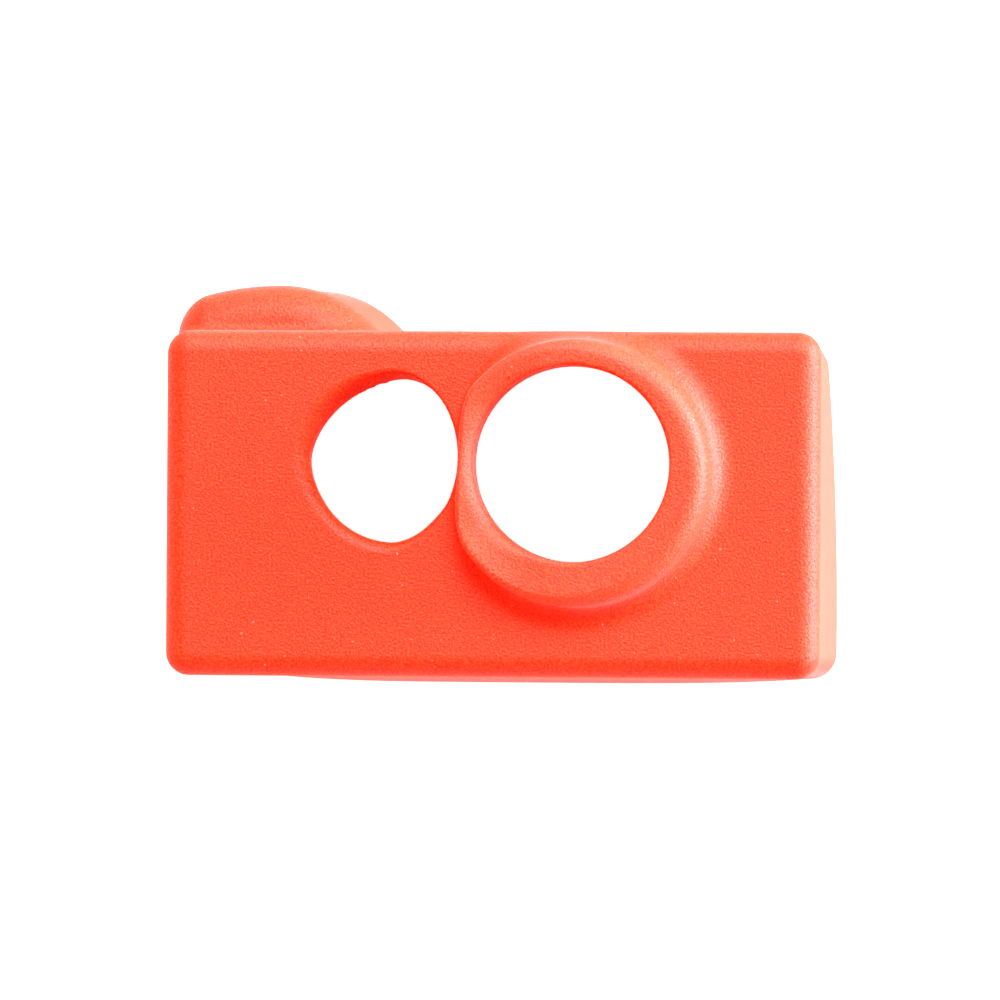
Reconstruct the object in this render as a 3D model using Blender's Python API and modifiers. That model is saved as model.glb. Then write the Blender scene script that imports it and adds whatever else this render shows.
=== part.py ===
"""Silicone sock for the heater block of a 3-D printer hotend.

One moulded piece: a box with an open back that pulls over a tall, narrow heater block. Its closed face
has a raised collar around the nozzle bore and, beside it, the hole for the end of the heater cartridge,
which runs parallel to the nozzle. A rounded pocket on one long wall clears the block's clamp screw.

Metres, +Z up. The sock stands on its open rim, with the nozzle side up. The plan is laid out around the
centre of the box's walls, and the finished piece is then centred on its bounding box.
"""

import math

import bmesh
import bpy
from mathutils import Matrix, Vector

MM = 0.001

# The box, outside, and the thickness of its walls.
BODY_LENGTH = 26.5 * MM
BODY_WIDTH = 14.0 * MM
BODY_HEIGHT = 18.0 * MM
WALL = 1.2 * MM
FLOOR = 1.2 * MM
OUTER_EDGE_RADIUS = 1.0 * MM
INNER_EDGE_RADIUS = 0.5 * MM
RIM_EDGE_RADIUS = 0.3 * MM

# The soft walls lean out towards the free rim: the long ones most in their middle, and the short ones
# most a little to the -Y side of it.
FRONT_WALL_BOW = 0.65 * MM
BACK_WALL_BOW = 0.33 * MM
SHORT_WALL_BOW = 0.44 * MM
SHORT_WALL_BOW_PEAK_Y = -2.3 * MM
BOW_CUT_SPACING = 2.4 * MM

# The nozzle bore and its collar, which is slightly eccentric and cut flat on the cartridge's side.
BORE_CENTRE = Vector((3.3, 1.6)) * MM
BORE_RADIUS = 3.93 * MM
COLLAR_CENTRE = Vector((3.45, 1.3)) * MM
COLLAR_RADIUS = 5.3 * MM
COLLAR_HEIGHT = 1.5 * MM
COLLAR_CREST_RADIUS = 0.4 * MM
COLLAR_FLAT_OFFSET = 4.67 * MM
COLLAR_FLAT_TILT = math.radians(2.9)
COLLAR_BACK_INSET = 0.2 * MM

# The cartridge hole: a circle whose side facing the collar is a flatter arc.
CARTRIDGE_CENTRE = Vector((-3.85, 1.7)) * MM
CARTRIDGE_RADIUS = 3.38 * MM
CARTRIDGE_FLAT_RADIUS = 4.3 * MM
CARTRIDGE_FLAT_X = -1.2 * MM

# The screw pocket on the long wall at +Y: straight at its -X end, then a long arc down to the wall.
POCKET_LEFT = -12.95 * MM
POCKET_CREST_X = -9.0 * MM
POCKET_CREST_Y = 8.95 * MM
POCKET_ARC_RADIUS = 5.3 * MM
POCKET_CORNER_RADIUS = 1.5 * MM
POCKET_DEPTH_BELOW_FACE = 3.0 * MM
POCKET_EDGE_RADIUS = 0.3 * MM
POCKET_INNER_EDGE_RADIUS = 0.3 * MM

ROUND_SEGMENTS = 72
BEVEL_SEGMENTS = 4
SHARP_EDGE = math.radians(60)
SMOOTH_EDGE = math.radians(35)
OVERSHOOT = 1.0 * MM
MERGE_DISTANCE = 0.000001

NODE_NAME = "silicone_sock"
SILICONE_COLOUR = (0.95, 0.115, 0.05, 1.0)


def clear_scene():
    for item in list(bpy.data.objects):
        bpy.data.objects.remove(item, do_unlink=True)


def make_collection(name):
    collection = bpy.data.collections.new(name)
    bpy.context.scene.collection.children.link(collection)
    return collection


def silicone_material():
    material = bpy.data.materials.new("silicone")
    material.use_nodes = True
    shader = material.node_tree.nodes["Principled BSDF"]
    shader.inputs["Base Color"].default_value = SILICONE_COLOUR
    shader.inputs["Roughness"].default_value = 0.6
    shader.inputs["Metallic"].default_value = 0.0
    return material


def add_object(name, mesh, collection):
    item = bpy.data.objects.new(name, mesh)
    collection.objects.link(item)
    return item


def make_guide(item):
    item.hide_render = True
    item.display_type = "WIRE"
    return item


def mesh_from(bm, name):
    mesh = bpy.data.meshes.new(name)
    bmesh.ops.recalc_face_normals(bm, faces=bm.faces)
    bm.to_mesh(mesh)
    bm.free()
    return mesh


def lean_out(point):
    """Moves a point of a wall outwards, by the bow of the wall at its depth below the closed face."""
    depth = min(max(1.0 - point.z / BODY_HEIGHT, 0.0), 1.0)
    along_x = point.x / (BODY_LENGTH / 2)
    from_peak = (point.y - SHORT_WALL_BOW_PEAK_Y) / (BODY_WIDTH / 2 - SHORT_WALL_BOW_PEAK_Y)
    short_bow = SHORT_WALL_BOW * depth ** 2 * max(1.0 - from_peak ** 2, 0.0)
    long_bow = FRONT_WALL_BOW if point.y < 0 else BACK_WALL_BOW
    long_bow *= depth ** 2 * max(1.0 - along_x ** 4, 0.0)
    point.x += short_bow * along_x
    point.y += long_bow * point.y / (BODY_WIDTH / 2)


def cut_into_steps(bm, axis, low, high):
    """Adds loops of edges across a mesh, so that its long faces can bend."""
    steps = round((high - low) / BOW_CUT_SPACING)
    normal = Vector((0, 0, 0))
    normal[axis] = 1.0
    for step in range(1, steps):
        place = normal * (low + (high - low) * step / steps)
        everything = bm.verts[:] + bm.edges[:] + bm.faces[:]
        bmesh.ops.bisect_plane(bm, geom=everything, plane_co=place, plane_no=normal)


def leaning_solid(bm, name, edge_radius, rim_radius, rim_height, collection):
    """Makes a straight solid lean out, and rounds its sharp edges, with a radius of their own at the rim."""
    bm.normal_update()
    weight = bm.edges.layers.float.new("bevel_weight_edge")
    for edge in bm.edges:
        if edge.calc_face_angle() > SHARP_EDGE:
            at_rim = all(abs(vert.co.z - rim_height) < MERGE_DISTANCE for vert in edge.verts)
            edge[weight] = rim_radius / edge_radius if at_rim else 1.0
    for vert in bm.verts:
        lean_out(vert.co)
    item = add_object(name, mesh_from(bm, name), collection)
    bevel = item.modifiers.new("rounded_edges", "BEVEL")
    bevel.limit_method = "WEIGHT"
    bevel.width = edge_radius
    bevel.segments = BEVEL_SEGMENTS
    return item


def leaning_box(name, length, width, low, high, edge_radius, rim_radius, collection):
    """A box with rounded edges, whose walls lean out towards its lower end."""
    bm = bmesh.new()
    bmesh.ops.create_cube(bm, size=1.0)
    bmesh.ops.scale(bm, vec=(length, width, high - low), verts=bm.verts)
    bmesh.ops.translate(bm, vec=(0, 0, (high + low) / 2), verts=bm.verts)
    cut_into_steps(bm, 0, -length / 2, length / 2)
    cut_into_steps(bm, 1, -width / 2, width / 2)
    cut_into_steps(bm, 2, low, high)
    return leaning_solid(bm, name, edge_radius, rim_radius, low, collection)


def arc_points(centre, radius, start, end, steps):
    """Points along an arc in the plan, from one angle to another."""
    return [
        centre + radius * Vector((math.cos(angle), math.sin(angle)))
        for angle in (start + (end - start) * step / steps for step in range(steps + 1))
    ]


def extruded_outline(name, points, low, high, collection):
    """A solid with a flat outline: a filled curve with an extrude, made into an editable mesh."""
    curve = bpy.data.curves.new(name, "CURVE")
    curve.dimensions = "2D"
    curve.fill_mode = "BOTH"
    curve.extrude = (high - low) / 2
    spline = curve.splines.new("POLY")
    spline.points.add(len(points) - 1)
    for corner, point in zip(spline.points, points):
        corner.co = (point.x, point.y, 0.0, 1.0)
    spline.use_cyclic_u = True
    outline = add_object(name + "_outline", curve, collection)
    outline.location.z = (high + low) / 2
    bpy.context.view_layer.update()
    evaluated = outline.evaluated_get(bpy.context.evaluated_depsgraph_get())
    bm = bmesh.new()
    bm.from_mesh(bpy.data.meshes.new_from_object(evaluated))
    bmesh.ops.transform(bm, matrix=outline.matrix_world, verts=bm.verts)
    bmesh.ops.remove_doubles(bm, verts=bm.verts, dist=MERGE_DISTANCE)
    bpy.data.objects.remove(outline, do_unlink=True)
    bmesh.ops.recalc_face_normals(bm, faces=bm.faces)
    return bm


def pocket_outline(inset):
    """The pocket's outline in the plan, moved inwards by a wall's thickness."""
    left = POCKET_LEFT + inset
    crest = POCKET_CREST_Y - inset
    corner = max(POCKET_CORNER_RADIUS - inset, INNER_EDGE_RADIUS)
    radius = POCKET_ARC_RADIUS - inset
    arc_centre = Vector((POCKET_CREST_X, crest - radius))
    foot_y = BODY_WIDTH / 2 - WALL - INNER_EDGE_RADIUS
    foot_angle = math.asin((foot_y - arc_centre.y) / radius)
    corner_centre = Vector((left + corner, crest - corner))
    points = arc_points(arc_centre, radius, foot_angle, math.pi / 2, 14)
    points += arc_points(corner_centre, corner, math.pi / 2, math.pi, 6)
    points.append(Vector((left, foot_y)))
    return points


def make_pocket(name, inset, low, high, edge_radius, rim_radius, collection):
    bm = extruded_outline(name, pocket_outline(inset), low, high, collection)
    cut_into_steps(bm, 2, low, high)
    return leaning_solid(bm, name, edge_radius, rim_radius, low, collection)


def make_collar(collection):
    """The collar as a turned ring: a rounded crest, and a flank that flares into the face."""
    flare = COLLAR_HEIGHT - COLLAR_CREST_RADIUS
    crest_centre = Vector((COLLAR_RADIUS - COLLAR_CREST_RADIUS, flare))
    flare_centre = Vector((COLLAR_RADIUS + flare, flare))
    profile = [Vector((0, COLLAR_HEIGHT))]
    profile += arc_points(crest_centre, COLLAR_CREST_RADIUS, math.pi / 2, 0, 4)
    profile += arc_points(flare_centre, flare, math.pi, 1.5 * math.pi, 6)[1:]
    profile.append(Vector((COLLAR_RADIUS + flare, -FLOOR / 2)))
    profile.append(Vector((0, -FLOOR / 2)))
    mesh = bpy.data.meshes.new("collar")
    corners = [(point.x, 0, point.y) for point in profile]
    mesh.from_pydata(corners, [(index, index + 1) for index in range(len(corners) - 1)], [])
    collar = add_object("collar", mesh, collection)
    collar.location = (COLLAR_CENTRE.x, COLLAR_CENTRE.y, BODY_HEIGHT)
    turn = collar.modifiers.new("turn", "SCREW")
    turn.steps = ROUND_SEGMENTS
    turn.render_steps = ROUND_SEGMENTS
    turn.use_merge_vertices = True
    turn.merge_threshold = MERGE_DISTANCE
    return collar


def plain_box(name, low, high, collection):
    bm = bmesh.new()
    bmesh.ops.create_cube(bm, size=1.0)
    bmesh.ops.scale(bm, vec=high - low, verts=bm.verts)
    bmesh.ops.translate(bm, vec=(high + low) / 2, verts=bm.verts)
    return add_object(name, mesh_from(bm, name), collection)


def collar_side_limit(collection):
    """The space that the collar may fill: within the box's plan, and on its own side of its flat."""
    half_width = BODY_WIDTH / 2
    low = Vector((-COLLAR_FLAT_OFFSET, -half_width - COLLAR_CENTRE.y, -FLOOR))
    back = half_width - COLLAR_BACK_INSET - COLLAR_CENTRE.y
    high = Vector((COLLAR_RADIUS * 1.5, back, COLLAR_HEIGHT * 2))
    limit = plain_box("collar_limit", low, high, collection)
    for vert in limit.data.vertices:
        if vert.co.x < 0:
            vert.co.x += vert.co.y * math.tan(COLLAR_FLAT_TILT)
    limit.location = (COLLAR_CENTRE.x, COLLAR_CENTRE.y, BODY_HEIGHT)
    return limit


def make_bore_cutter(collection):
    bm = bmesh.new()
    bmesh.ops.create_cone(
        bm, cap_ends=True, segments=ROUND_SEGMENTS, radius1=BORE_RADIUS, radius2=BORE_RADIUS,
        depth=FLOOR + COLLAR_HEIGHT + 2 * OVERSHOOT,
        matrix=Matrix.Translation((BORE_CENTRE.x, BORE_CENTRE.y, BODY_HEIGHT + (COLLAR_HEIGHT - FLOOR) / 2)),
    )
    return add_object("bore_cutter", mesh_from(bm, "bore_cutter"), collection)


def make_cartridge_cutter(collection):
    """The cartridge hole: its own circle, except where the flatter arc passes inside it."""
    flat_centre = Vector((CARTRIDGE_FLAT_X - CARTRIDGE_FLAT_RADIUS, CARTRIDGE_CENTRE.y))
    apart = CARTRIDGE_CENTRE.x - flat_centre.x
    reach = (CARTRIDGE_FLAT_RADIUS ** 2 - CARTRIDGE_RADIUS ** 2 + apart ** 2) / (2 * apart)
    flat_angle = math.acos(reach / CARTRIDGE_FLAT_RADIUS)
    circle_angle = math.acos((reach - apart) / CARTRIDGE_RADIUS)
    points = arc_points(flat_centre, CARTRIDGE_FLAT_RADIUS, -flat_angle, flat_angle, 20)
    points += arc_points(CARTRIDGE_CENTRE, CARTRIDGE_RADIUS, circle_angle, 2 * math.pi - circle_angle, 44)[1:-1]
    low = BODY_HEIGHT - FLOOR - OVERSHOOT
    bm = extruded_outline("cartridge_cutter", points, low, BODY_HEIGHT + COLLAR_HEIGHT, collection)
    return add_object("cartridge_cutter", mesh_from(bm, "cartridge_cutter"), collection)


def combine(item, other, operation):
    step = item.modifiers.new(operation.lower() + "_" + other.name, "BOOLEAN")
    step.operation = operation
    step.object = other
    step.solver = "EXACT"


def centre_on_bounding_box(items):
    """Moves the whole model so that its bounding box is centred on the Z axis."""
    bpy.context.view_layer.update()
    sock = items[0].evaluated_get(bpy.context.evaluated_depsgraph_get())
    corners = [sock.matrix_world @ Vector(corner) for corner in sock.bound_box]
    middle_x = (min(corner.x for corner in corners) + max(corner.x for corner in corners)) / 2
    middle_y = (min(corner.y for corner in corners) + max(corner.y for corner in corners)) / 2
    for item in items:
        item.location.x -= middle_x
        item.location.y -= middle_y


def main():
    clear_scene()
    model = make_collection("heater_block_sock")
    cutters = make_collection("cutters")

    sock = leaning_box(
        NODE_NAME, BODY_LENGTH, BODY_WIDTH, 0.0, BODY_HEIGHT, OUTER_EDGE_RADIUS, RIM_EDGE_RADIUS, model
    )
    sock.data.materials.append(silicone_material())
    pocket_roof = BODY_HEIGHT - POCKET_DEPTH_BELOW_FACE
    pocket_wall = make_guide(make_pocket(
        "pocket_wall", 0.0, 0.0, pocket_roof, POCKET_EDGE_RADIUS, RIM_EDGE_RADIUS, cutters,
    ))
    collar = make_guide(make_collar(cutters))
    limit = make_guide(collar_side_limit(cutters))
    cavity = make_guide(leaning_box(
        "cavity_cutter", BODY_LENGTH - 2 * WALL, BODY_WIDTH - 2 * WALL, -OVERSHOOT, BODY_HEIGHT - FLOOR,
        INNER_EDGE_RADIUS, INNER_EDGE_RADIUS, cutters,
    ))
    pocket_space = make_guide(make_pocket(
        "pocket_space", WALL, -OVERSHOOT, pocket_roof - WALL,
        POCKET_INNER_EDGE_RADIUS, POCKET_INNER_EDGE_RADIUS, cutters,
    ))
    bore = make_guide(make_bore_cutter(cutters))
    cartridge = make_guide(make_cartridge_cutter(cutters))

    combine(collar, limit, "INTERSECT")
    combine(sock, pocket_wall, "UNION")
    combine(sock, collar, "UNION")
    for cutter in (cavity, pocket_space, bore, cartridge):
        combine(sock, cutter, "DIFFERENCE")
    centre_on_bounding_box([sock, pocket_wall, collar, limit, cavity, pocket_space, bore, cartridge])
    sock.data.shade_smooth()
    sock.data.set_sharp_from_angle(angle=SMOOTH_EDGE)


main()
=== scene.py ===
"""Looks of a moulded silicone sock for a hotend's heater block.

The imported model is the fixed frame. The sock is one soft moulded piece, so one smooth skin stands for its CAD
node. The skin is the zero level of a distance field in which every edge is rounded and every junction is
filleted, as a moulding's are. The field is laid out in millimetres around the centre of the box's walls,
with z = 0 at the open rim and the nozzle side up.
"""

import itertools
import math

import bpy
import numpy as np
from mathutils import Matrix, Vector

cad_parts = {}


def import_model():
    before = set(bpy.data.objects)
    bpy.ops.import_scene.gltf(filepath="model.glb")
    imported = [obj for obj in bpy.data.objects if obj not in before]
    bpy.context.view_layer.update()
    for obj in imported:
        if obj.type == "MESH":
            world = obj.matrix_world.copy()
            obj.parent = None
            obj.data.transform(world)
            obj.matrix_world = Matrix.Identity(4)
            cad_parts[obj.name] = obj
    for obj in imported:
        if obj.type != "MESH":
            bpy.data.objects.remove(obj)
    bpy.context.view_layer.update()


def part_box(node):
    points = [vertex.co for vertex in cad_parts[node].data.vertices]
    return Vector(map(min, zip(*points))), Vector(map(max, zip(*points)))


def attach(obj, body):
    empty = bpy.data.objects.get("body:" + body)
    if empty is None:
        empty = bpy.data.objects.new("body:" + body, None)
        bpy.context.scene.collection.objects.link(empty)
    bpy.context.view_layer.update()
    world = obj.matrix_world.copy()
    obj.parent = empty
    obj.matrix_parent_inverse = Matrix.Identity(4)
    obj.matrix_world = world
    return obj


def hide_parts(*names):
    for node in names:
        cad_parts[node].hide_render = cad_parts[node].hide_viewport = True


MM = 0.001

# The box: outside sizes, thickness of its walls, and radii of its edges.
LENGTH = 26.5
WIDTH = 14.0
HEIGHT = 18.0
WALL = 1.2
CORNER_RADIUS = 0.95
TOP_EDGE_RADIUS = 0.9
RIM_RADIUS = 0.28
INNER_CORNER_RADIUS = 0.5
INNER_EDGE_RADIUS = 0.4
INNER_FILLET = 0.3

# How far the soft walls lean out at the rim. The short walls lean most near the front, and the front wall
# keeps a share of its lean at its +X end.
FRONT_BOW = 0.65
BACK_BOW = 0.33
SHORT_BOW = 0.5
SHORT_BOW_PEAK_Y = -5.0
FRONT_BOW_KEPT_AT_END = 0.5

# The nozzle bore and its collar. Towards the hole the bore's edge is rounder by the extra radius, and the
# collar's top is dished by the extra slope. The bore cuts the lost share off its edge's rounding, which leaves
# a small lip. Towards +X the collar's crest and its foot are softer. A span is where a change starts and where
# it is complete, as shares of the radius from the centre, or in millimetres along X where it says so.
BORE_CENTRE = (3.27, 1.63)
BORE_RADIUS = 3.94
BORE_EDGE_RADIUS = 0.16
BORE_EDGE_EXTRA = 0.6
BORE_EDGE_SPAN = (0.1, 0.95)
BORE_EDGE_LOST = 0.23
BORE_LIP_RADIUS = 0.08
COLLAR_CENTRE = (3.42, 1.27)
COLLAR_RADIUS = 5.38
COLLAR_HEIGHT = 1.5
COLLAR_DISH = 0.02
COLLAR_DISH_EXTRA = 0.18
COLLAR_DISH_SPAN = (0.2, 0.95)
COLLAR_CREST_RADIUS = 0.16
COLLAR_CREST_EXTRA = 0.62
COLLAR_CREST_SPAN_X = (-1.0, 6.5)
COLLAR_FILLET = 1.05
COLLAR_FLAT_FILLET = 0.35
COLLAR_FILLET_SPAN_X = (-1.2, 1.5)
COLLAR_FLAT_OFFSET = 4.71
COLLAR_FLAT_TILT = math.radians(2.9)
COLLAR_CORNER_RADIUS = 0.5

# The cartridge hole. On the side at the flare's angle its ring is wider by the flare at its outer end, and
# tighter by the narrowing at its inner one. Its outer edge is rounder on the side at the edge's angle.
HOLE_CENTRE = (-3.95, 1.73)
HOLE_RADIUS = 3.3
HOLE_BORE_SIDE_CENTRE = (-5.67, 1.9)
HOLE_BORE_SIDE_RADIUS = 4.3
HOLE_CHORD_OFFSET = 3.06
HOLE_CHORD_ANGLE = math.radians(-54)
HOLE_SIDE_CORNER_RADIUS = 0.3
HOLE_CHORD_CORNER_RADIUS = 0.5
HOLE_FLARE = 0.3
HOLE_FLARE_SPAN = (0.1, 0.9)
HOLE_NARROWING = 0.34
HOLE_NARROWING_SPAN = (0.65, 1.0)
HOLE_FLARE_ANGLE = math.radians(130)
HOLE_EDGE_RADIUS = 0.12
HOLE_EDGE_EXTRA = 0.42
HOLE_EDGE_SPAN = (-0.5, 0.7)
HOLE_EDGE_ANGLE = math.radians(215)

# The screw pocket on the wall at +Y. Its left end is at -X.
POCKET_LEFT = -13.25
POCKET_LEAN = 0.15
POCKET_CREST = (-9.0, 8.95)
POCKET_ARC_RADIUS = 5.3
POCKET_BACK_RADIUS = 12.0
POCKET_CORNER_RADIUS = 1.25
POCKET_TOP = 15.0
POCKET_EDGE_RADIUS = 1.5
POCKET_FILLET = 0.4

# The reach of the net that becomes the skin, and the heights between which its cells may be long.
NET_X = (-14.2, 14.2)
NET_Y = (-8.2, 9.8)
NET_BOTTOM = -0.25
NET_PLAIN_FROM = 0.85
NET_PLAIN_TO = 12.6
NET_TOP = 20.0

# The camera, in millimetres from the centre of the nozzle side.
CAMERA_PLACE = (16.8, -1.0, 240.0)
CAMERA_TARGET = (0.36, 0.17, 0.0)
CAMERA_ROLL = math.radians(0.34)


def spaced(*spans):
    """Grid lines along one axis, from spans of (start, end, spacing)."""
    lines = [np.linspace(a, b, max(2, round((b - a) / step) + 1))[:-1] for a, b, step in spans]
    return np.concatenate(lines + [[spans[-1][1]]])


def both(a, b, radius):
    """Where two solids overlap, with the edge between them rounded."""
    inner = np.minimum(np.maximum(a, b), -radius)
    return inner + np.hypot(np.maximum(a + radius, 0), np.maximum(b + radius, 0))


def either(a, b, radius):
    """Two solids joined, with a fillet between them."""
    outer = np.maximum(np.minimum(a, b), radius)
    return outer - np.hypot(np.maximum(radius - a, 0), np.maximum(radius - b, 0))


def rectangle(x, y, half_x, half_y, radius):
    """Distance to a rectangle with round corners."""
    dx = np.abs(x) - half_x + radius
    dy = np.abs(y) - half_y + radius
    return np.hypot(np.maximum(dx, 0), np.maximum(dy, 0)) + np.minimum(np.maximum(dx, dy), 0) - radius


def circle(x, y, centre, radius):
    """Distance to a circle."""
    return np.hypot(x - centre[0], y - centre[1]) - radius


def half_plane(x, y, centre, offset, angle):
    """Negative inside a line that is offset from a centre, in the direction of an angle."""
    return (x - centre[0]) * math.cos(angle) + (y - centre[1]) * math.sin(angle) - offset


def smooth_ramp(value, start, end):
    """Rises from 0 at the start to 1 at the end, and is level at both."""
    share = np.clip((value - start) / (end - start), 0, 1)
    return share * share * (3 - 2 * share)


def straightened(x, y, z):
    """Moves a point inwards by the lean of the walls there, so that the walls can be laid out straight."""
    depth = np.clip(1 - z / HEIGHT, 0, 1) ** 2
    along = x / (LENGTH / 2)
    from_peak = (y - SHORT_BOW_PEAK_Y) / (WIDTH / 2 - SHORT_BOW_PEAK_Y)
    short_bow = SHORT_BOW * depth * np.maximum(1 - from_peak ** 2, 0)
    kept = np.where((x > 0) & (y < 0), FRONT_BOW_KEPT_AT_END, 0)
    long_bow = np.where(y < 0, FRONT_BOW, BACK_BOW) * depth * np.maximum(1 - (1 - kept) * along ** 4, 0)
    return x / (1 + short_bow / (LENGTH / 2)), y / (1 + long_bow / (WIDTH / 2))


def pocket_plan(x, y):
    """The pocket's outline: a long shallow arc from its corner to its crest, then a rounder one to the wall.

    Within the box its end leans away from the short wall, so that the two surfaces don't coincide.
    """
    back = circle(x, y, (POCKET_CREST[0], POCKET_CREST[1] - POCKET_BACK_RADIUS), POCKET_BACK_RADIUS)
    front = circle(x, y, (POCKET_CREST[0], POCKET_CREST[1] - POCKET_ARC_RADIUS), POCKET_ARC_RADIUS)
    top = np.where(x < POCKET_CREST[0], back, front)
    left = POCKET_LEFT + POCKET_LEAN * np.maximum(WIDTH / 2 - y, 0)
    return np.maximum(both(top, left - x, POCKET_CORNER_RADIUS), -y)


def cartridge_hole(x, y, z):
    """The hole's plan: flatter on the side at the bore, and flared outwards on the far side."""
    rise = np.clip((z - HEIGHT + WALL) / WALL, 0, 1)
    far_side = half_plane(x, y, HOLE_CENTRE, 0, HOLE_FLARE_ANGLE) / HOLE_RADIUS
    flare = HOLE_FLARE * rise * smooth_ramp(far_side, *HOLE_FLARE_SPAN)
    narrowing = HOLE_NARROWING * (1 - rise) * smooth_ramp(far_side, *HOLE_NARROWING_SPAN)
    ring = circle(x, y, HOLE_CENTRE, HOLE_RADIUS + flare - narrowing)
    bore_side = circle(x, y, HOLE_BORE_SIDE_CENTRE, HOLE_BORE_SIDE_RADIUS)
    chord = half_plane(x, y, HOLE_CENTRE, HOLE_CHORD_OFFSET, HOLE_CHORD_ANGLE)
    return both(both(ring, bore_side, HOLE_SIDE_CORNER_RADIUS), chord, HOLE_CHORD_CORNER_RADIUS)


def sock(x, y, z):
    """Distance to the sock's surface, negative inside the silicone."""
    wall_x, wall_y = straightened(x, y, z)
    plan = rectangle(wall_x, wall_y, LENGTH / 2, WIDTH / 2, CORNER_RADIUS)
    solid = both(plan, z - HEIGHT, TOP_EDGE_RADIUS)

    ring = circle(x, y, COLLAR_CENTRE, COLLAR_RADIUS)
    flat = half_plane(x, y, COLLAR_CENTRE, COLLAR_FLAT_OFFSET, math.pi - COLLAR_FLAT_TILT)
    towards_hole = half_plane(x, y, BORE_CENTRE, 0, math.pi) / BORE_RADIUS
    dish = COLLAR_DISH + COLLAR_DISH_EXTRA * smooth_ramp(towards_hole, *COLLAR_DISH_SPAN)
    collar_plan = both(ring, flat, COLLAR_CORNER_RADIUS)
    cap = z - HEIGHT - COLLAR_HEIGHT - dish * np.minimum(collar_plan, 0)
    crest = COLLAR_CREST_RADIUS + COLLAR_CREST_EXTRA * smooth_ramp(x, *COLLAR_CREST_SPAN_X)
    collar = both(collar_plan, cap, crest)
    softening = smooth_ramp(x, *COLLAR_FILLET_SPAN_X)
    fillet = COLLAR_FLAT_FILLET + (COLLAR_FILLET - COLLAR_FLAT_FILLET) * softening
    solid = either(solid, collar, fillet)
    solid = np.maximum(solid, plan)

    pocket = both(pocket_plan(wall_x, wall_y), z - POCKET_TOP, POCKET_EDGE_RADIUS)
    solid = either(solid, pocket, POCKET_FILLET)
    solid = both(solid, -z, RIM_RADIUS)

    cavity = rectangle(wall_x, wall_y, LENGTH / 2 - WALL, WIDTH / 2 - WALL, INNER_CORNER_RADIUS)
    cavity = both(cavity, z - HEIGHT + WALL, INNER_EDGE_RADIUS)
    space = both(pocket_plan(wall_x, wall_y) + WALL, z - POCKET_TOP + WALL, INNER_EDGE_RADIUS)
    solid = both(solid, -either(cavity, space, INNER_FILLET), RIM_RADIUS)

    edge = BORE_EDGE_RADIUS + BORE_EDGE_EXTRA * smooth_ramp(towards_hole, *BORE_EDGE_SPAN)
    bore = circle(x, y, BORE_CENTRE, BORE_RADIUS)
    solid = both(both(solid, -bore - BORE_EDGE_LOST * edge, edge), -bore, BORE_LIP_RADIUS)
    away = half_plane(x, y, HOLE_CENTRE, 0, HOLE_EDGE_ANGLE) / HOLE_RADIUS
    edge = HOLE_EDGE_RADIUS + HOLE_EDGE_EXTRA * smooth_ramp(away, *HOLE_EDGE_SPAN)
    return both(solid, -cartridge_hole(x, y, z), edge)


def slope(points):
    """Unit direction in which the field grows, at each point, and how fast it does."""
    step = 0.01
    parts = []
    for axis in range(3):
        ahead = points.copy()
        behind = points.copy()
        ahead[:, axis] += step
        behind[:, axis] -= step
        parts.append((sock(*ahead.T) - sock(*behind.T)) / (2 * step))
    gradient = np.stack(parts, 1)
    size = np.maximum(np.linalg.norm(gradient, axis=1), 1e-6)
    return gradient / size[:, None], size


def settled(points, rounds):
    """Points moved onto the surface along the field, by no more than a limit each time."""
    limit = 0.15
    for _ in range(rounds):
        direction, size = slope(points)
        move = np.clip(sock(*points.T) / size, -limit, limit)
        points = points - direction * move[:, None]
    return points


def part_of(grid, starts, shape):
    """A block of a grid, of a given shape, from a corner."""
    return grid[tuple(slice(start, start + size) for start, size in zip(starts, shape))]


def surface_net(lines):
    """Points and four-sided faces of the zero level of the field, on a grid of unequal cells.

    Each cell that the surface crosses gets one point, in the middle of the places where its edges are
    crossed. Each crossed edge gets one face, between the points of the four cells around it.
    """
    values = sock(*np.meshgrid(*lines, indexing="ij"))
    inside = values < 0
    shape = tuple(size - 1 for size in values.shape)
    corners = list(itertools.product((0, 1), repeat=3))
    full = sum(part_of(inside, corner, shape).astype(np.int8) for corner in corners)
    active = (full > 0) & (full < 8)
    cells = np.argwhere(active)
    number = np.full(shape, -1)
    number[active] = np.arange(len(cells))

    total = np.zeros((len(cells), 3))
    hits = np.zeros(len(cells))
    for a, b in itertools.product(corners, corners):
        if a < b and sum(p != q for p, q in zip(a, b)) == 1:
            start, end = cells + a, cells + b
            value_a, value_b = values[tuple(start.T)], values[tuple(end.T)]
            crossed = (value_a < 0) != (value_b < 0)
            share = np.where(crossed, value_a / np.where(crossed, value_a - value_b, 1), 0)[:, None]
            place_a = np.stack([line[index] for line, index in zip(lines, start.T)], 1)
            place_b = np.stack([line[index] for line, index in zip(lines, end.T)], 1)
            total += np.where(crossed[:, None], place_a + share * (place_b - place_a), 0)
            hits += crossed
    points = total / hits[:, None]

    faces = []
    for axis in range(3):
        across, up = (axis + 1) % 3, (axis + 2) % 3
        span = [size - 1 for size in shape]
        span[axis] = shape[axis]
        low = [1, 1, 1]
        low[axis] = 0
        high = list(low)
        high[axis] = 1
        near, far = part_of(inside, low, span), part_of(inside, high, span)
        quad = []
        for step_across, step_up in ((0, 0), (1, 0), (1, 1), (0, 1)):
            corner = [0, 0, 0]
            corner[across] = step_across
            corner[up] = step_up
            quad.append(part_of(number, corner, span))
        quad = np.stack(quad, -1)
        faces.append(quad[near & ~far])
        faces.append(quad[~near & far][:, ::-1])
    return points, np.concatenate(faces)


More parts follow.
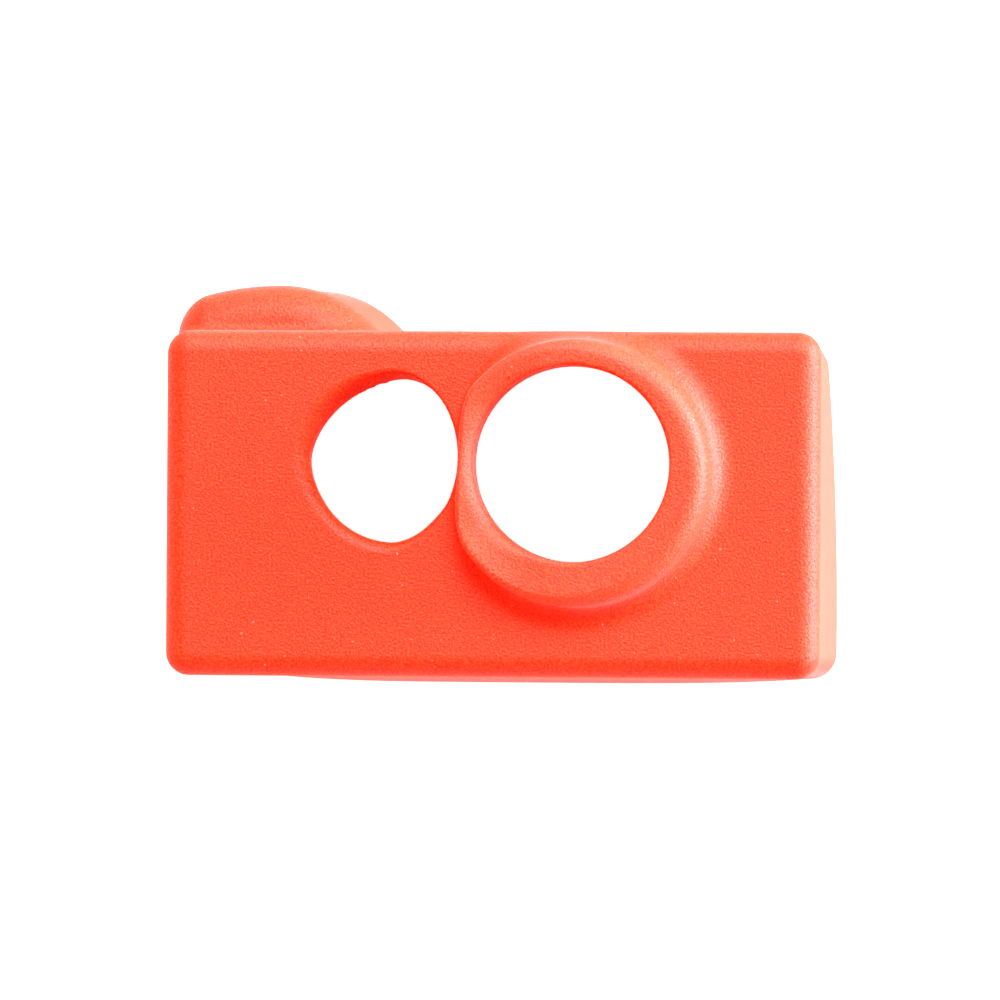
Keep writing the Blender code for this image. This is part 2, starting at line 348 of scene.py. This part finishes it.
def evened(points, faces):
    """Points moved to the middle of the faces around them, which evens out the net."""
    centres = points[faces].mean(1)
    total = np.zeros_like(points)
    count = np.zeros(len(points))
    for corner in range(4):
        np.add.at(total, faces[:, corner], centres)
        np.add.at(count, faces[:, corner], 1)
    return total / count[:, None]


def make_skin(origin):
    """The sock's skin, placed with the middle of its box walls over the given origin."""
    cell = 0.18
    rim = (NET_BOTTOM, NET_PLAIN_FROM, 0.7 * cell)
    plain_walls = (NET_PLAIN_FROM, NET_PLAIN_TO, 3 * cell)
    nozzle_side = (NET_PLAIN_TO, NET_TOP, 0.85 * cell)
    lines = (spaced((*NET_X, cell)), spaced((*NET_Y, cell)), spaced(rim, plain_walls, nozzle_side))
    points, faces = surface_net(lines)
    points = settled(evened(settled(points, 2), faces), 3)
    mesh = bpy.data.meshes.new("silicone_skin")
    mesh.from_pydata(points * MM + np.array(origin), [], faces.tolist())
    mesh.shade_smooth()
    mesh.normals_split_custom_set_from_vertices(slope(points)[0])
    skin = bpy.data.objects.new("silicone_skin", mesh)
    bpy.context.scene.collection.objects.link(skin)
    return skin


def noise(nodes, links, place, scale, detail):
    """Noise in object space; the scale is in lumps per metre."""
    texture = nodes.new("ShaderNodeTexNoise")
    texture.inputs["Scale"].default_value = scale
    texture.inputs["Detail"].default_value = detail
    links.new(place.outputs["Object"], texture.inputs["Vector"])
    return texture.outputs["Fac"]


def ramp(nodes, links, value, low, high, low_colour, high_colour):
    """Turns a value between two limits into a colour between two."""
    step = nodes.new("ShaderNodeValToRGB")
    step.color_ramp.elements[0].position = low
    step.color_ramp.elements[0].color = low_colour
    step.color_ramp.elements[1].position = high
    step.color_ramp.elements[1].color = high_colour
    links.new(value, step.inputs["Fac"])
    return step.outputs["Color"]


def mixed(nodes, links, kind, share, a, b):
    """A colour mix of an output with a colour or another output, by a fixed share or by an output.

    The node's sockets go by number, because it has others of the same names for numbers and vectors.
    """
    mix = nodes.new("ShaderNodeMix")
    mix.data_type = "RGBA"
    mix.blend_type = kind
    links.new(a, mix.inputs[6])
    if isinstance(b, tuple):
        mix.inputs[7].default_value = b
    else:
        links.new(b, mix.inputs[7])
    if isinstance(share, float):
        mix.inputs[0].default_value = share
    else:
        links.new(share, mix.inputs[0])
    return mix.outputs[2]


def silicone_material():
    """Matte silicone: a fine grain, faint mottling, pale dust on the collar's top that is also a painted
    highlight there, and a few specks.
    """
    material = bpy.data.materials.new("silicone")
    material.use_nodes = True
    nodes, links = material.node_tree.nodes, material.node_tree.links
    shader = nodes["Principled BSDF"]
    shader.inputs["Roughness"].default_value = 0.54
    shader.inputs["Specular IOR Level"].default_value = 0.8
    shader.inputs["Sheen Weight"].default_value = 0.4
    shader.inputs["Sheen Roughness"].default_value = 0.35
    shader.inputs["Subsurface Weight"].default_value = 0.3
    shader.inputs["Subsurface Radius"].default_value = (1.0, 0.12, 0.06)
    shader.inputs["Subsurface Scale"].default_value = 0.0009

    place = nodes.new("ShaderNodeTexCoord")
    fine = noise(nodes, links, place, 11000, 2)
    coarse = noise(nodes, links, place, 900, 3)
    colour = ramp(nodes, links, fine, 0.36, 0.64, (0.72, 0.030, 0.0005, 1), (1.0, 0.120, 0.014, 1))
    mottle = ramp(nodes, links, coarse, 0.3, 0.7, (0.94, 0.9, 0.88, 1), (1.0, 1.0, 1.0, 1))
    colour = mixed(nodes, links, "MULTIPLY", 1.0, colour, mottle)
    # Paler towards the top of the collar: partly dust, partly a painted highlight that stands in for the light
    # on the collar's crest.
    height = nodes.new("ShaderNodeSeparateXYZ")
    links.new(place.outputs["Object"], height.inputs["Vector"])
    dust_and_painted_highlight = nodes.new("ShaderNodeMapRange")
    dust_and_painted_highlight.inputs["From Min"].default_value = (HEIGHT + 0.8) * MM
    dust_and_painted_highlight.inputs["From Max"].default_value = (HEIGHT + 1.3) * MM
    dust_and_painted_highlight.inputs["To Max"].default_value = 0.075
    links.new(height.outputs["Z"], dust_and_painted_highlight.inputs["Value"])
    colour = mixed(nodes, links, "MIX", dust_and_painted_highlight.outputs["Result"], colour, (0.95, 0.5, 0.3, 1))
    pale = ramp(nodes, links, noise(nodes, links, place, 5200, 1), 0.775, 0.81, (0, 0, 0, 1), (1, 1, 1, 1))
    colour = mixed(nodes, links, "MIX", pale, colour, (0.9, 0.5, 0.36, 1))
    dark = ramp(nodes, links, noise(nodes, links, place, 4100, 1), 0.2, 0.235, (1, 1, 1, 1), (0, 0, 0, 1))
    colour = mixed(nodes, links, "MIX", dark, colour, (0.35, 0.02, 0.012, 1))
    links.new(colour, shader.inputs["Base Color"])

    bump = nodes.new("ShaderNodeBump")
    bump.inputs["Strength"].default_value = 1.0
    bump.inputs["Distance"].default_value = 0.000036
    links.new(fine, bump.inputs["Height"])
    links.new(bump.outputs["Normal"], shader.inputs["Normal"])
    return material


def make_floor():
    """A plain floor that glows, so that it is white around the sock and through its holes."""
    bpy.ops.mesh.primitive_plane_add(size=1.6, location=(0, 0, 0))
    floor = bpy.context.object
    floor.name = "floor"
    material = bpy.data.materials.new("floor")
    material.use_nodes = True
    shader = material.node_tree.nodes["Principled BSDF"]
    shader.inputs["Base Color"].default_value = (0.9, 0.9, 0.9, 1)
    shader.inputs["Roughness"].default_value = 0.9
    shader.inputs["Emission Color"].default_value = (1, 1, 1, 1)
    shader.inputs["Emission Strength"].default_value = 1.0
    floor.data.materials.append(material)
    floor.visible_glossy = False


def make_backdrop():
    """A pale wall around the floor, which only the camera sees."""
    bpy.ops.mesh.primitive_cylinder_add(radius=0.78, depth=1.6, end_fill_type="NOTHING", location=(0, 0, 0))
    wall = bpy.context.object
    wall.name = "backdrop"
    wall.data.materials.append(bpy.data.materials["floor"])
    wall.visible_diffuse = False
    wall.visible_glossy = False
    wall.visible_shadow = False


def aim(item, target, roll=0.0):
    """Points an item's -Z axis at a target, with its +Y axis towards the row frame's +Y, then rolls it."""
    back = (item.location - target).normalized()
    right = Vector((0, 1, 0)).cross(back).normalized()
    turn = Matrix((right, back.cross(right), back)).transposed()
    item.rotation_euler = (turn @ Matrix.Rotation(roll, 3, "Z")).to_euler()


def add_softbox(name, target, azimuth, elevation, width, height, strength):
    """A rectangular light, placed by its angles from the target; 1 lights a white card facing it to white."""
    distance = 0.8
    data = bpy.data.lights.new(name, "AREA")
    data.shape = "RECTANGLE"
    data.size = width
    data.size_y = height
    data.energy = strength * (math.pi * distance) ** 2
    light = bpy.data.objects.new(name, data)
    bpy.context.scene.collection.objects.link(light)
    turn = Matrix.Rotation(math.radians(azimuth), 3, "Z") @ Matrix.Rotation(-math.radians(elevation), 3, "Y")
    light.location = target + turn @ Vector((distance, 0, 0))
    light.rotation_euler = (turn @ Matrix(((0, 0, 1), (1, 0, 0), (0, 1, 0)))).to_euler()
    return light


def make_camera(face_centre):
    """Looks down on the nozzle side from a little towards +X."""
    data = bpy.data.cameras.new("camera")
    data.lens = 215
    data.sensor_width = 36
    data.clip_start = 0.01
    camera = bpy.data.objects.new("camera", data)
    bpy.context.scene.collection.objects.link(camera)
    camera.location = face_centre + Vector(CAMERA_PLACE) * MM
    aim(camera, face_centre + Vector(CAMERA_TARGET) * MM, CAMERA_ROLL)
    bpy.context.scene.camera = camera


def light_studio(face_centre):
    """A broad key light from above +Y, a long low one from +X, and a red fill from everywhere."""
    add_softbox("key", face_centre, azimuth=74, elevation=46, width=0.5, height=0.5, strength=1.12)
    rim = add_softbox("rim", face_centre, azimuth=13, elevation=3, width=0.6, height=0.13, strength=2.9)
    rim.data.color = (1, 0.82, 0.97)
    world = bpy.data.worlds.new("studio")
    bpy.context.scene.world = world
    world.use_nodes = True
    fill = world.node_tree.nodes["Background"]
    fill.inputs["Color"].default_value = (1, 0.13, 0.06, 1)
    fill.inputs["Strength"].default_value = 1.3
    bpy.context.scene.view_settings.view_transform = "Standard"


def corners(box):
    """A box's two corners as plain lists."""
    return [list(corner) for corner in box]


def main():
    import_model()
    low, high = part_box("silicone_sock")
    front_reach = WIDTH / 2 + FRONT_BOW * (1 - RIM_RADIUS / HEIGHT) ** 2
    origin = Vector(((low.x + high.x) / 2, low.y + front_reach * MM, low.z))

    skin = make_skin(origin)
    skin.data.materials.append(silicone_material())
    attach(skin, "root")
    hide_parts("silicone_sock")

    face_centre = origin + Vector((0, 0, HEIGHT)) * MM
    make_floor()
    make_backdrop()
    make_camera(face_centre)
    light_studio(face_centre)


main()
